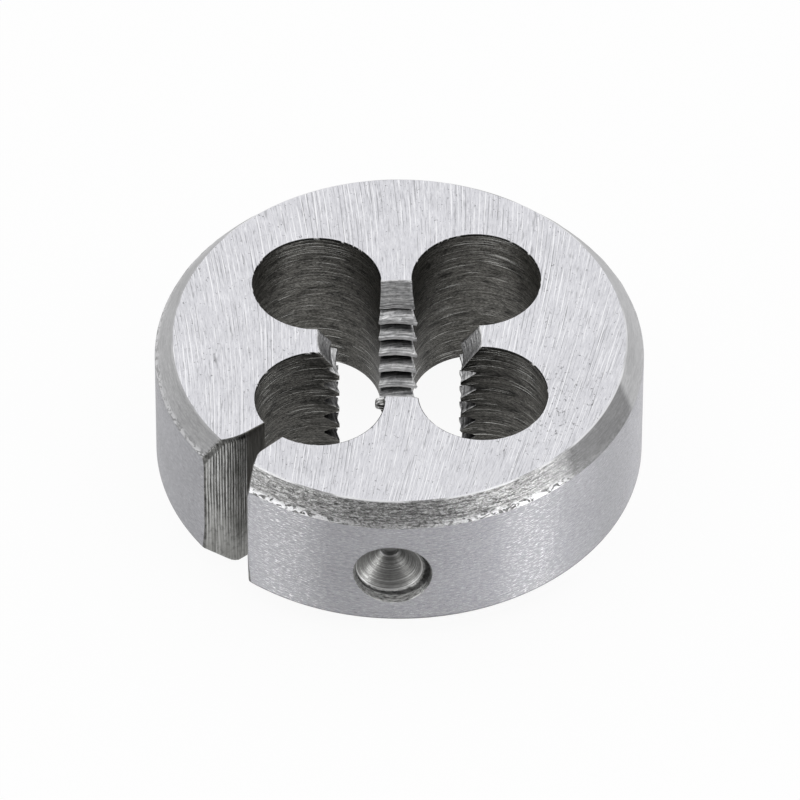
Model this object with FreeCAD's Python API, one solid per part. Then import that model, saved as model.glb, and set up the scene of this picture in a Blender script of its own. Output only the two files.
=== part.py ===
import FreeCAD, Part
import math
import os

# Round split threading die for a metric M12 x 1.75 right-hand thread, in millimetres.
# The thread axis is Z, the die lies on z = 0 and azimuths are turned about Z from +X.

# Round blank
OUTER_D = 38.0
THICKNESS = 13.5
TOP_CHAMFER_RADIAL = 1.35
TOP_CHAMFER_AXIAL = 1.65
BOTTOM_CHAMFER_RADIAL = 1.9
BOTTOM_CHAMFER_AXIAL = 1.9

# Thread cut by the die: nominal diameter and pitch of the screw it makes
THREAD_D = 12.0
PITCH = 1.75
FLANK_HALF_ANGLE = 30.0
CREST_D = THREAD_D - 1.2269 * PITCH
GROOVE_FLOOR = PITCH / 8.0
THREAD_START_HEIGHT = 0.245

# Lead cone on each face, where the screw blank enters
LEAD_MOUTH_CLEARANCE = 0.7
LEAD_MOUTH_D = THREAD_D + LEAD_MOUTH_CLEARANCE
LEAD_DEPTH = 2.2

# Four chip holes between the cutting lands
CHIP_HOLE_D = 10.0
CHIP_HOLE_PITCH_R = 8.8
SLOTTED_HOLE_PITCH_R = 9.0
SLOTTED_HOLE_NUMBER = 2
CHIP_HOLE_COUNT = 4
CHIP_HOLE_FIRST_AZIMUTH = 47.2

# Adjusting slot: a narrow saw cut from one chip hole, slightly askew, opening into a V at the rim
SLOT_AZIMUTH = -135.0
SLOT_WIDTH = 2.0
SAW_CUT_TURN = -5.0
SLOT_V_START_R = 16.5
SLOT_V_HALF_ANGLE = 30.0

# Screw seats drilled into the rim at mid height: a steep mouth, a cone and a pilot
SEAT_AZIMUTHS = (-91.4, 88.6)
SEAT_MOUTH_D = 6.0
SEAT_MOUTH_DEPTH = 0.6
SEAT_CONE_D = 5.8
SEAT_CONE_HALF_ANGLE = 45.0
SEAT_PILOT_D = 1.45
SEAT_PILOT_DEPTH = 0.5

# Where the turned surfaces of the blank close, counted from the slot, clear of both seats
SEAM_FROM_SLOT = -90.0

# How far a cutting body runs past the surface it opens
OVERRUN = 1.0

AXIS = FreeCAD.Vector(0, 0, 1)
ORIGIN = FreeCAD.Vector(0, 0, 0)


def closed_face(points):
    """Flat face inside the closed polygon through the given points."""
    return Part.Face(Part.makePolygon(points + points[:1]))


def turned(points):
    """Solid turned about Z from a profile of (radius, height) pairs."""
    profile = closed_face([FreeCAD.Vector(r, 0, z) for r, z in points])
    return profile.revolve(ORIGIN, AXIS, 360)


def blank():
    """Chamfered disc with the plain bore at the thread crests and a lead cone on each face."""
    outer_r = OUTER_D / 2.0
    crest_r = CREST_D / 2.0
    mouth_r = LEAD_MOUTH_D / 2.0
    disc = turned([
        (mouth_r, 0),
        (outer_r - BOTTOM_CHAMFER_RADIAL, 0),
        (outer_r, BOTTOM_CHAMFER_AXIAL),
        (outer_r, THICKNESS - TOP_CHAMFER_AXIAL),
        (outer_r - TOP_CHAMFER_RADIAL, THICKNESS),
        (mouth_r, THICKNESS),
        (crest_r, THICKNESS - LEAD_DEPTH),
        (crest_r, LEAD_DEPTH),
    ])
    disc.rotate(ORIGIN, AXIS, SLOT_AZIMUTH + SEAM_FROM_SLOT)
    return disc


def chip_hole(number):
    """Straight through hole between two lands."""
    azimuth = math.radians(CHIP_HOLE_FIRST_AZIMUTH + number * 360.0 / CHIP_HOLE_COUNT)
    pitch_r = SLOTTED_HOLE_PITCH_R if number == SLOTTED_HOLE_NUMBER else CHIP_HOLE_PITCH_R
    foot = FreeCAD.Vector(pitch_r * math.cos(azimuth), pitch_r * math.sin(azimuth), -OVERRUN)
    return Part.makeCylinder(CHIP_HOLE_D / 2.0, THICKNESS + 2 * OVERRUN, foot)


def saw_cut_corner(side):
    """Inner corner of the saw cut, turned a little about the throat, where the V starts."""
    turn = math.radians(SAW_CUT_TURN)
    x = SLOTTED_HOLE_PITCH_R - SLOT_V_START_R
    y = side * SLOT_WIDTH / 2.0
    turned_x = math.cos(turn) * x - math.sin(turn) * y
    turned_y = math.sin(turn) * x + math.cos(turn) * y
    return (SLOT_V_START_R + turned_x, turned_y)


def slot():
    """Saw cut along +X from the chip hole, flaring into a V at the rim, turned to its place."""
    half = SLOT_WIDTH / 2.0
    end_r = OUTER_D / 2.0 + OVERRUN
    flare = half + (end_r - SLOT_V_START_R) * math.tan(math.radians(SLOT_V_HALF_ANGLE))
    outline = [
        saw_cut_corner(-1),
        (SLOT_V_START_R, -half),
        (end_r, -flare),
        (end_r, flare),
        (SLOT_V_START_R, half),
        saw_cut_corner(1),
    ]
    face = closed_face([FreeCAD.Vector(x, y, -OVERRUN) for x, y in outline])
    cut = face.extrude(FreeCAD.Vector(0, 0, THICKNESS + 2 * OVERRUN))
    cut.rotate(ORIGIN, AXIS, SLOT_AZIMUTH)
    return cut


def screw_seat(azimuth):
    """Seat for the point of a holder screw: steep mouth, cone and pilot, pointing inwards."""
    mouth_r = SEAT_MOUTH_D / 2.0
    cone_r = SEAT_CONE_D / 2.0
    pilot_r = SEAT_PILOT_D / 2.0
    mouth_taper = (mouth_r - cone_r) / SEAT_MOUTH_DEPTH
    cone_end = SEAT_MOUTH_DEPTH + (cone_r - pilot_r) / math.tan(math.radians(SEAT_CONE_HALF_ANGLE))
    tool = turned([
        (0, -OVERRUN),
        (mouth_r + mouth_taper * OVERRUN, -OVERRUN),
        (cone_r, SEAT_MOUTH_DEPTH),
        (pilot_r, cone_end),
        (pilot_r, cone_end + SEAT_PILOT_DEPTH),
        (0, cone_end + SEAT_PILOT_DEPTH),
    ])
    tool.rotate(ORIGIN, FreeCAD.Vector(0, 1, 0), -90)
    tool.translate(FreeCAD.Vector(OUTER_D / 2.0, 0, THICKNESS / 2.0))
    tool.rotate(ORIGIN, AXIS, azimuth)
    return tool


def thread_groove():
    """Right-hand helical groove that leaves the cutting teeth standing on the lands."""
    crest_r = CREST_D / 2.0
    floor_r = THREAD_D / 2.0
    floor_half = GROOVE_FLOOR / 2.0
    mouth_half = floor_half + (floor_r - crest_r) * math.tan(math.radians(FLANK_HALF_ANGLE))
    inner_r = crest_r - 0.15 * PITCH
    profile = [
        (inner_r, -mouth_half),
        (crest_r, -mouth_half),
        (floor_r, -floor_half),
        (floor_r, floor_half),
        (crest_r, mouth_half),
        (inner_r, mouth_half),
    ]
    points = [FreeCAD.Vector(r, 0, z + THREAD_START_HEIGHT - PITCH) for r, z in profile]
    helix = Part.makeHelix(PITCH, THICKNESS + 2 * PITCH, crest_r)
    helix.translate(FreeCAD.Vector(0, 0, THREAD_START_HEIGHT - PITCH))
    sweep = Part.BRepOffsetAPI.MakePipeShell(Part.Wire(helix.Edges))
    sweep.setFrenetMode(True)
    sweep.add(Part.makePolygon(points + points[:1]))
    sweep.build()
    sweep.makeSolid()
    return sweep.shape()


def threading_die():
    """The finished die: the blank less its holes, slot, screw seats and thread groove."""
    body = blank()
    body = body.cut([chip_hole(n) for n in range(CHIP_HOLE_COUNT)])
    body = body.cut(slot())
    body = body.cut([screw_seat(azimuth) for azimuth in SEAT_AZIMUTHS])
    body = body.cut(thread_groove())
    return body.Solids[0]


os.makedirs("parts", exist_ok=True)
threading_die().exportStep("parts/threading_die.step")
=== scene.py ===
import math

import bpy
import numpy as np
from mathutils import Matrix, Vector


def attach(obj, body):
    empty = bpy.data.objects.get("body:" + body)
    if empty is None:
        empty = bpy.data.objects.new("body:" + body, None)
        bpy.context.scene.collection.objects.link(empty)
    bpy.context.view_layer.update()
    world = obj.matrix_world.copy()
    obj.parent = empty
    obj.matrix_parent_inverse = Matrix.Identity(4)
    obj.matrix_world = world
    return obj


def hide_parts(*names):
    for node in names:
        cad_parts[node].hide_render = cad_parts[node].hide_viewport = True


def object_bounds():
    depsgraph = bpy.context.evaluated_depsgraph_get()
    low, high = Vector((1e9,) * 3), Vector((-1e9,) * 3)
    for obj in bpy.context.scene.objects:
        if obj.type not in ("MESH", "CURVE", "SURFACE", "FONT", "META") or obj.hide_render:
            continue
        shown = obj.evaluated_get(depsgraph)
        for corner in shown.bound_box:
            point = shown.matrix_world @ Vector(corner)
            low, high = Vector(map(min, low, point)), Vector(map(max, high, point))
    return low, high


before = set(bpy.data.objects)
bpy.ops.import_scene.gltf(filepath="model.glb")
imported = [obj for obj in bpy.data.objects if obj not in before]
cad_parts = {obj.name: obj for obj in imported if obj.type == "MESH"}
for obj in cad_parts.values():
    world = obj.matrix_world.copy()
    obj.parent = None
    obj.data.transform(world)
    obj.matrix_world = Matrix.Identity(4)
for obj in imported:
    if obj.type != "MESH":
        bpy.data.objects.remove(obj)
cad_low, cad_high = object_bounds()

# Blank: a disc of tool steel turned from bar, with a steep chamfer on its top edge and an equal-sided one
# below, both faces ground flat. Its whole wall is one surface of place along the outline and height,
# because the slot joins the rim to the holes. Lengths are millimetres.
MM = 0.001
RIM_R = (cad_high.y - cad_low.y) / 2 / MM
THICK = cad_high.z / MM
TOP_CHAMFER = (1.35, 1.65)
BOTTOM_CHAMFER = (1.9, 1.9)
TOP_CORNER = THICK - TOP_CHAMFER[1]
CORNER_BLEND = 0.05
EDGE_ROUND = 0.07
ROUND_STEPS = 4
FLAT_INSETS = np.array([0.1, 0.25, 0.5])
WALL_ROWS = 94
FOOT_ROWS = np.array([-1.55, -1.2, -0.8, -0.4, -0.15, -0.06, 0, 0.06, 0.15])
CORNER_ROWS = np.array([-0.15, -0.08, -0.03, 0, 0.03, 0.06, 0.09, 0.13, 0.18, 0.26, 0.45, 0.7, 1, 1.25,
                        1.4])
ROW_GAP = 0.13
KNOTS = 4096

# Rows at each end of the wall: a quarter round over the edge, then rings on the flat face.
swing = np.linspace(0, math.pi / 2, ROUND_STEPS + 1)
end_z = np.r_[THICK - EDGE_ROUND + EDGE_ROUND * np.sin(swing), THICK + 0 * FLAT_INSETS]
end_inset = np.r_[EDGE_ROUND * (1 - np.cos(swing)), EDGE_ROUND + FLAT_INSETS]
END_ROWS = len(end_z)
INSET = np.r_[end_inset[::-1], np.zeros(WALL_ROWS), end_inset]
ROWS = len(INSET)
SLIDING = np.r_[np.zeros(END_ROWS), np.ones(WALL_ROWS), np.zeros(END_ROWS)]


def rows_of(wall):
    """Heights of one column: the rounded ends, with the given heights of the wall between them."""
    return np.r_[THICK - end_z[::-1], wall, end_z]


below = BOTTOM_CHAMFER[1] + FOOT_ROWS
above = TOP_CORNER + CORNER_ROWS
between = np.linspace(below[-1] + ROW_GAP, above[0] - ROW_GAP, WALL_ROWS - len(below) - len(above))
RIM_ROWS = rows_of(np.r_[below, between, above])


def soft_least(a, b, reach):
    """The smaller of two values; near their crossing a parabola as wide as reach rounds the corner."""
    near = np.clip(1 - np.abs(a - b) / reach, 0, None)
    return np.minimum(a, b) - near ** 2 * reach / 4


def top_chamfer_line(z):
    """Radius of the top chamfer's cone at a height: it loses its radial size over its axial size."""
    return RIM_R - (z - TOP_CORNER) * TOP_CHAMFER[0] / TOP_CHAMFER[1]


def rim_radius(z):
    """Radius of the turned blank: the least of the rim and both chamfer cones, corners slightly rounded."""
    bottom = RIM_R - BOTTOM_CHAMFER[0] + z * BOTTOM_CHAMFER[0] / BOTTOM_CHAMFER[1]
    return soft_least(RIM_R, soft_least(bottom, top_chamfer_line(z), CORNER_BLEND), CORNER_BLEND)


def ragged(place, spacing, seed):
    """Random height along a line: seeded values from -1 to 1 every spacing, joined by straight runs."""
    knots = np.random.RandomState(seed).uniform(-1, 1, KNOTS)
    place = np.asarray(place) / spacing % (KNOTS - 1)
    low = place.astype(int)
    return knots[low] + (place - low) * (knots[low + 1] - knots[low])


# Chip holes: four straight holes drilled through the steel between the lands, which leave each row of teeth a
# cutting edge and give the chips a way out. The front left one stands a little further out.
HOLE_R = 5.0
HOLE_AZIMUTHS = np.radians([227.2, 137.2, 47.2, -42.8, -132.8])
HOLE_PITCH_R = np.array([9.0, 8.8, 8.8, 8.8, 9.0])
HOLE_STEPS = 48
HOLE_BLEND_STEPS = 3
# How far the painted shade beside a land reaches along a hole's wall.
LAND_SHADE_REACH = 2.4


def hole_wall(number, start, stop, steps):
    """Part of a hole: its circle between two corners; a corner off the circle is met over three columns."""
    azimuth = HOLE_AZIMUTHS[number]
    centre = HOLE_PITCH_R[number] * np.array([math.cos(azimuth), math.sin(azimuth)])
    step = np.arange(steps + 1)[:, None]
    t = step / steps
    angles, extras = [], []
    for point in (start, stop):
        away = point[:2] - centre[:, None]
        angles.append((np.arctan2(away[1], away[0]) - azimuth + math.pi) % (2 * math.pi) - math.pi)
        extras.append(np.hypot(*away) - HOLE_R - INSET)
    angle = azimuth + angles[0] + t * (angles[1] - angles[0])
    near_start = np.clip(1 - step / HOLE_BLEND_STEPS, 0, 1) ** 2
    near_stop = np.clip(1 - (steps - step) / HOLE_BLEND_STEPS, 0, 1) ** 2
    r = HOLE_R + INSET + near_start * extras[0] + near_stop * extras[1]
    z = start[2] + t * (stop[2] - start[2])
    return np.array([centre[0] + r * np.cos(angle), centre[1] + r * np.sin(angle), z])


# Lands and teeth: a 1.75 mm right-hand thread cut through the four lands, run out into a lead cone on both
# faces. Cutting leaves a torn burr on the same side of every land, and the tips' corners are broken by hand.
PITCH = 1.75
FLOOR_R = 6.0
CREST_R = FLOOR_R - 1.2269 * PITCH / 2
FLOOR_HALF = PITCH / 16
MOUTH_HALF = FLOOR_HALF + (FLOOR_R - CREST_R) * math.tan(math.radians(30))
LEAD_R = 6.35
LEAD_DEPTH = 2.2
LAND_STEPS = 20
THREAD_START = 0.245

# The last groove under the top face is shallow: depths under the face, and how much shallower it is there.
SHALLOW_DEPTHS = np.array([1.25, 1.65, 2.6, 3.2])
SHALLOW_BY = np.array([1.07, 0.35, 0.2, 0.0])

# Rows of a land in one pitch, counted in pitches from a groove's middle.
STATIONS = np.array([-0.0625, 0, 0.0625, 0.151, 0.24, 0.328, 0.4169, 0.4724, 0.5276, 0.5831, 0.672, 0.76,
                     0.849])
END_GAP = 0.35
CORNER_PASSES = 12

# Torn burr along a land's far side: its size and drop, its width and the spacing of its teeth.
BURR, BURR_DROP = 0.25, 0.06
BURR_WIDTH, BURR_SPACING = 0.34, 0.16
BURR_LAND_STEP, BURR_TOOTH_STEP = 31.7, 5.3
CREST_WAVE, CREST_WAVE_SPACING, CREST_WAVE_TOOTH_STEP = 0.018, 0.33, 3.1

# Painted shade in the roots: depths under the top face with its share there, fading out above the bottom
# face.
SHADE_DEPTHS = np.array([2.9, 3.4, 6.0, 9.0, 11.0])
SHADE_SHARES = np.array([0.0, 0.62, 0.8, 1.0, 1.3])
SHADE_FOOT, SHADE_FOOT_FADE = 0.8, 2.2
# Painted light: the value that the cone and the first groove get, which keeps them light.
ON_CONE = -0.2
CONE_OVER_CREST, CONE_NEAR = 0.02, 0.03
FIRST_FLOOR_DEPTH, FIRST_FLOOR_SPREAD = 1.3, 1.15

# How far the two corners of each land are broken back at the top face.
TIP_BREAK = [(0.05, 0.05), (0.05, 0.05), (0.05, 0.05), (0.3, 0.05)]
LEAST_BREAK, BREAK_FADE = 0.02, 14
BREAK_REACH, BREAK_GROWTH = 0.1, 1.8


def off_centre(theta, z):
    """Height from the nearest groove's middle, which climbs one pitch in a turn."""
    return np.abs(((z - THREAD_START) / PITCH - theta / (2 * math.pi) + 0.5) % 1 - 0.5) * PITCH


def land_radius(theta, z):
    """Radius of a land: the groove's V repeated along a right-hand helix, or the lead cone where wider."""
    off = off_centre(theta, z)
    groove = CREST_R + (MOUTH_HALF - off) * (FLOOR_R - CREST_R) / (MOUTH_HALF - FLOOR_HALF)
    groove = groove - np.interp(THICK - z, SHALLOW_DEPTHS, SHALLOW_BY)
    cone = np.maximum(LEAD_R - np.minimum(z, THICK - z) * (LEAD_R - CREST_R) / LEAD_DEPTH, CREST_R)
    return np.maximum(np.clip(groove, CREST_R, FLOOR_R), cone), cone


def helix_height(rows, theta, middle):
    """Height of a row at an azimuth: the wall's rows climb with the helix, the end rows stay level."""
    return rows + SLIDING * PITCH * (theta - middle) / (2 * math.pi)


def tip_break(rows, depth):
    """How far a land's corner is broken back: the given depth at the top face, fading slowly below it."""
    return LEAST_BREAK + depth * np.clip(1 - (THICK - rows) / BREAK_FADE, 0, 1) ** 0.5


def land_corner(number, side, rows, middle, broken):
    """Azimuth at which a land's radius meets the hole's circle, found by repetition."""
    theta = np.full(ROWS, middle)
    c = HOLE_PITCH_R[number]
    for _ in range(CORNER_PASSES):
        r = land_radius(theta, helix_height(rows, theta, middle))[0] + INSET + broken
        spread = np.arccos((c ** 2 + r ** 2 - (HOLE_R + INSET) ** 2) / (2 * c * r))
        theta = HOLE_AZIMUTHS[number] + side * spread
    return theta


def painted_root_shade(theta, z, r, cone):
    """Painted shade in a thread root: the share of the way into it, times the shade wanted at that depth;
    the cone and the first groove have a lighter value of their own, and the first groove's floor is one."""
    near_foot = np.clip((z - SHADE_FOOT) / SHADE_FOOT_FADE, 0, 1)
    shaded = np.minimum(np.interp(THICK - z, SHADE_DEPTHS, SHADE_SHARES), near_foot)
    depth = np.clip((r - cone) / (FLOOR_R - CREST_R), 0, 1) * shaded
    first_groove = THICK - z < SHADE_DEPTHS[0]
    on_cone = (cone > CREST_R + CONE_OVER_CREST) & (r - cone < CONE_NEAR)
    depth = np.where(on_cone | first_groove, ON_CONE, depth)
    on_floor = off_centre(theta, z) < FIRST_FLOOR_SPREAD * FLOOR_HALF
    return np.where(first_groove & (THICK - z > FIRST_FLOOR_DEPTH) & on_floor, 1.0, depth)


def land(number):
    """One land between two holes: azimuth runs across it, height follows the helix; the far side is torn."""
    middle = (HOLE_AZIMUTHS[number] + HOLE_AZIMUTHS[number + 1]) / 2
    turns = np.arange(-2, THICK / PITCH + 2)[:, None]
    marks = np.sort(((turns + STATIONS) * PITCH + THREAD_START + PITCH * middle / (2 * math.pi)).ravel())
    rows = rows_of(marks[marks > END_GAP][:WALL_ROWS])
    breaks = [tip_break(rows, depth) for depth in TIP_BREAK[number]]
    start = land_corner(number, -1, rows, middle, breaks[0])
    stop = land_corner(number + 1, 1, rows, middle, breaks[1])
    t = np.arange(LAND_STEPS + 1)[:, None] / LAND_STEPS
    theta = start + t * (stop - start)
    z = helix_height(rows, theta, middle)
    width = np.abs(stop - start) * CREST_R
    r, cone = land_radius(theta, z)
    painted_shade_in_root = painted_root_shade(theta, z, r, cone)
    crest = np.clip((FLOOR_R - r) / (FLOOR_R - CREST_R), 0, 1) * SLIDING
    for distance, depth in ((t * width, breaks[0]), ((1 - t) * width, breaks[1])):
        r = r + depth * np.clip(1 - distance / (BREAK_REACH + BREAK_GROWTH * depth), 0, 1) ** 2
    tooth = np.floor((z - THREAD_START) / PITCH - middle / (2 * math.pi))
    torn = 0.5 + 0.5 * ragged(z + BURR_LAND_STEP * number + BURR_TOOTH_STEP * tooth, BURR_SPACING, seed=11)
    tear = np.clip(1 - (1 - t) * width / BURR_WIDTH, 0, 1) * crest ** 2 * torn * BURR
    theta = theta - tear / CREST_R
    wave = ragged(theta * FLOOR_R + CREST_WAVE_TOOTH_STEP * tooth + number, CREST_WAVE_SPACING, seed=12)
    r = r - tear * BURR_DROP / BURR + CREST_WAVE * crest * wave
    r = r + INSET
    return np.array([r * np.cos(theta), r * np.sin(theta), z]), painted_shade_in_root


# Adjusting slot: a narrow saw cut from the front left hole, opened into a V at the rim with coarse cutter
# lines down its flanks. The flanks' upper edges are filed off and their lower corners rounded.
SLOT_AZIMUTH = math.radians(225)
SLOT_HALF = 1.0
SAW_TURN = math.radians(-5)
FLARE_START_R = 16.5
FLARE_TAN = math.tan(math.radians(30))
FLARE_STEPS = 26
SAW_STEPS = 6
CORNER_STEPS = 4
SAW_REACH = 20
FILED_DEPTH = 0.14
FILED_WIDTH = 0.4
SQUARE_TO_CHAMFER = 0.77
LEFT_THROAT, RIGHT_THROAT = 0.9, 0.35
THROAT_STEPS = 8
LINE_DEPTH = 0.02
LINES_ON_FLANK, FLANKS_APART = 29, 60
LEFT_CORNER_SIZE, RIGHT_CORNER_SIZE = 0.6, 0.5
LEAST_CORNER_SIZE, CORNER_FADE = 0.06, 4.5
MOST_EASED = 0.9
LAST_CELL_GAP = 1.001


def along_slot(x, y, turn=0.0):
    """Turns a place along and across the slot into the die's axes; the saw cut turns about the throat."""
    c, s = math.cos(turn), math.sin(turn)
    x, y = FLARE_START_R + c * (x - FLARE_START_R) - s * y, s * (x - FLARE_START_R) + c * y
    c, s = math.cos(SLOT_AZIMUTH), math.sin(SLOT_AZIMUTH)
    return np.array([c * x - s * y, s * x + c * y, RIM_ROWS + 0 * x])


def flank_ends(side, filed):
    """Both ends of a flank set back by a filed depth: where its line meets the turned rim, and its throat."""
    rim = rim_radius(RIM_ROWS) - INSET
    shift = SLOT_HALF - FLARE_START_R * FLARE_TAN + (INSET + filed) * math.hypot(1, FLARE_TAN)
    a, b, c = 1 + FLARE_TAN ** 2, 2 * FLARE_TAN * shift, shift ** 2 - rim ** 2
    x_rim = (-b + np.sqrt(b * b - 4 * a * c)) / (2 * a)
    throat = SLOT_HALF + INSET + filed
    x_throat = (throat - shift) / FLARE_TAN
    return along_slot(x_rim, side * (shift + FLARE_TAN * x_rim)), along_slot(x_throat, side * throat)


def straight(start, stop, steps):
    """Flat strip: points spaced evenly on the line between two corners, for every row."""
    t = np.arange(steps + 1)[None, :, None] / steps
    return start[:, None] + t * (stop - start)[:, None]


def flank(side):
    """One flank from rim to throat: flat, filed back near the blank's upper edges, with cutter lines."""
    whole = straight(*flank_ends(side, 0.0), FLARE_STEPS)
    filed = straight(*flank_ends(side, FILED_DEPTH), FLARE_STEPS)
    radial_gap = (top_chamfer_line(whole[2]) - np.hypot(whole[0], whole[1])) * SQUARE_TO_CHAMFER
    share = np.clip(1 - np.minimum(THICK - whole[2], radial_gap) / FILED_WIDTH, 0, 1)
    place = np.arange(FLARE_STEPS + 1)[:, None] / FLARE_STEPS
    line_place = place * LINES_ON_FLANK
    lines = ragged(line_place + FLANKS_APART * side, 1, seed=21)
    lines = lines + 0.5 * ragged(line_place + whole[2] * 0.5, 1.3, seed=22)
    lines = lines * np.sin(math.pi * place) ** 0.3 * (1 - share)
    inward = (filed - whole) / FILED_DEPTH
    return whole + inward * (share * FILED_DEPTH + LINE_DEPTH * lines)


def saw_hole_corner(side):
    """Where a side of the saw cut meets the hole: its line crossed with the hole's circle."""
    azimuth = HOLE_AZIMUTHS[0]
    centre = HOLE_PITCH_R[0] * np.array([math.cos(azimuth), math.sin(azimuth)])
    a = along_slot(0 * INSET, side * (SLOT_HALF + INSET), SAW_TURN)
    b = along_slot(0 * INSET + SAW_REACH, side * (SLOT_HALF + INSET), SAW_TURN)
    way = (b - a)[:2] / SAW_REACH
    to_centre = centre[:, None] - a[:2]
    along = (way * to_centre).sum(0)
    across = np.abs(way[0] * to_centre[1] - way[1] * to_centre[0])
    reach = along + np.sqrt((HOLE_R + INSET) ** 2 - across ** 2)
    return np.array([a[0] + way[0] * reach, a[1] + way[1] * reach, RIM_ROWS])


def corner(start, point, stop, steps):
    """Rounded corner: a quadratic curve between two strips, pulled towards the sharp corner between them."""
    t = np.arange(steps + 1)[None, :, None] / steps
    return (1 - t) ** 2 * start[:, None] + 2 * t * (1 - t) * point[:, None] + t ** 2 * stop[:, None]


def corner_size(depth):
    """Size of a flank's broken outer corner: small, growing to the given depth at the bottom."""
    return LEAST_CORNER_SIZE + depth * np.clip(1 - RIM_ROWS / CORNER_FADE, 0, 1) ** 1.2


def rim_point(point, size, way):
    """The place on the rim at an arc's length from a corner, at the same height."""
    r = np.hypot(point[0], point[1])
    azimuth = np.arctan2(point[1], point[0]) + way * size / RIM_R
    return np.array([r * np.cos(azimuth), r * np.sin(azimuth), point[2]])


def eased(strip, size, first):
    """Shortens a strip by a size at its first or last column, keeping its other end."""
    t = np.arange(strip.shape[1])[None, :, None] / (strip.shape[1] - 1)
    length = np.linalg.norm(strip[:2, -1] - strip[:2, 0], axis=0)
    t = t if first else 1 - t
    low = np.clip(size / length, 0, MOST_EASED)
    place = (low + t * (1 - low)) if first else 1 - (low + t * (1 - low))
    cell = np.clip(place * (strip.shape[1] - 1), 0, strip.shape[1] - LAST_CELL_GAP)
    whole = cell.astype(int)
    rows = np.broadcast_to(np.arange(ROWS), whole[0].shape)
    near = strip[:, whole[0], rows]
    return near + (cell[0] - whole[0]) * (strip[:, whole[0] + 1, rows] - near)


left_size, right_size = corner_size(LEFT_CORNER_SIZE), corner_size(RIGHT_CORNER_SIZE)
left_flank, right_flank = flank(-1), flank(1)
left_corner, right_corner = left_flank[:, 0], right_flank[:, 0]
left_throat, right_throat = left_flank[:, -1], right_flank[:, -1]
left_round, right_round = np.full(ROWS, LEFT_THROAT), np.full(ROWS, RIGHT_THROAT)
left_flank = eased(eased(left_flank, left_size, True), left_round, False)
right_flank = eased(eased(right_flank, right_size, True), right_round, False)
left_rim = rim_point(left_corner, left_size, -1)
right_rim = rim_point(right_corner, right_size, 1)
saw_left, saw_right = saw_hole_corner(-1), saw_hole_corner(1)
left_saw = eased(straight(left_throat, saw_left, SAW_STEPS), left_round, True)
right_saw = eased(straight(right_throat, saw_right, SAW_STEPS), right_round, True)

# Rim and wall: the rim is ground round, and the turned corner above it keeps burrs, pushed out in places and
# torn away in others. The strips of rim, slot, holes and lands follow one another and close the wall.
# Heights of the burr's parts are pairs: the middle's height over the corner, and the half width. BRIGHT_AT
# is where the burr's painted glints lie.
RIM_STEPS = 480
LIP_HEIGHT = 0.1
# The burr's strength round the rim, which also places its painted glints.
BURR_AZIMUTHS = np.array([-140, -122, -112, -106, -98, -84, -76, -62, -49, -45, 0, 60, 110, 150, 200, 220])
BURR_SHARES = np.array([0.3, 1.0, 1.0, 0.45, 0.3, 0.3, 0.55, 1.0, 1.0, 0.1, 0.05, 0.3, 0.1, 0.3, 0.35, 0.55])
TORN_AZIMUTHS = np.array([-140, -122, -60, -48, -38, 30, 90, 150, 222])
TORN_SHARES = np.array([0.7, 1.0, 1.0, 0.6, 0.15, 0.1, 0.5, 0.2, 0.25])
LIP_AT, FOLD_AT, EDGE_AT, BRIGHT_AT = (0.11, 0.06), (0.24, 0.07), (0.02, 0.03), (0.14, 0.19)
FOLD_SHARE, EDGE_SHARE = 0.7, 0.35
NICK_WIDTH, NICK_DEPTH, NICK_LEVEL = 0.05, 0.12, 0.55
END_FADE = 60
FILED_DARK = 1.25
EDGE_DARK_WIDTH, EDGE_DARK_SHARE = 0.14, 0.8


def bell(place, middle, width):
    """A smooth rise to one at the middle: e to the power of minus the squared distance over the width."""
    return np.exp(-((place - middle) / width) ** 2)


# The rim: its turned profile at every azimuth, pushed out at the lip just over the corner, sunk in the fold
# above it, and nicked at the face's edge.
start_azimuth = np.arctan2(right_rim[1], right_rim[0])
stop_azimuth = np.arctan2(left_rim[1], left_rim[0]) + 2 * math.pi
t = np.arange(RIM_STEPS + 1)[:, None] / RIM_STEPS
azimuth = start_azimuth + t * (stop_azimuth - start_azimuth)
ends = np.minimum(np.minimum(t, 1 - t) * END_FADE, 1)
arc = azimuth * RIM_R
strong = np.interp(np.degrees(azimuth), BURR_AZIMUTHS, BURR_SHARES) * (0.8 + 0.2 * ragged(arc, 2.5, seed=32))
over_corner = RIM_ROWS - TOP_CORNER
lip = bell(over_corner, *LIP_AT) * (0.25 + ragged(arc, 0.42, seed=31)) * strong
fold = FOLD_SHARE * bell(over_corner, *FOLD_AT) * (0.3 + 0.7 * ragged(arc, 0.6, seed=35)) * strong
edge = EDGE_SHARE * bell(over_corner, *EDGE_AT) * ragged(arc, 1.1, seed=33)
nicks = bell(RIM_ROWS, THICK, NICK_WIDTH) * np.clip(ragged(arc, 0.5, seed=34) - NICK_LEVEL, 0, None)
raised = np.minimum(rim_radius(RIM_ROWS) + ends * LIP_HEIGHT * (lip - fold + edge), RIM_R)
radius = raised - INSET - ends * NICK_DEPTH * nicks
rim = np.array([radius * np.cos(azimuth), radius * np.sin(azimuth), RIM_ROWS + 0 * azimuth])
# Mark for the burr: its strength, which sets its relief and its colour of raw steel with painted glints and
# shade.
rim_burr_and_glint = strong * bell(over_corner, *BRIGHT_AT)
rim_torn = np.interp(np.degrees(azimuth), TORN_AZIMUTHS, TORN_SHARES) + 0 * RIM_ROWS

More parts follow.
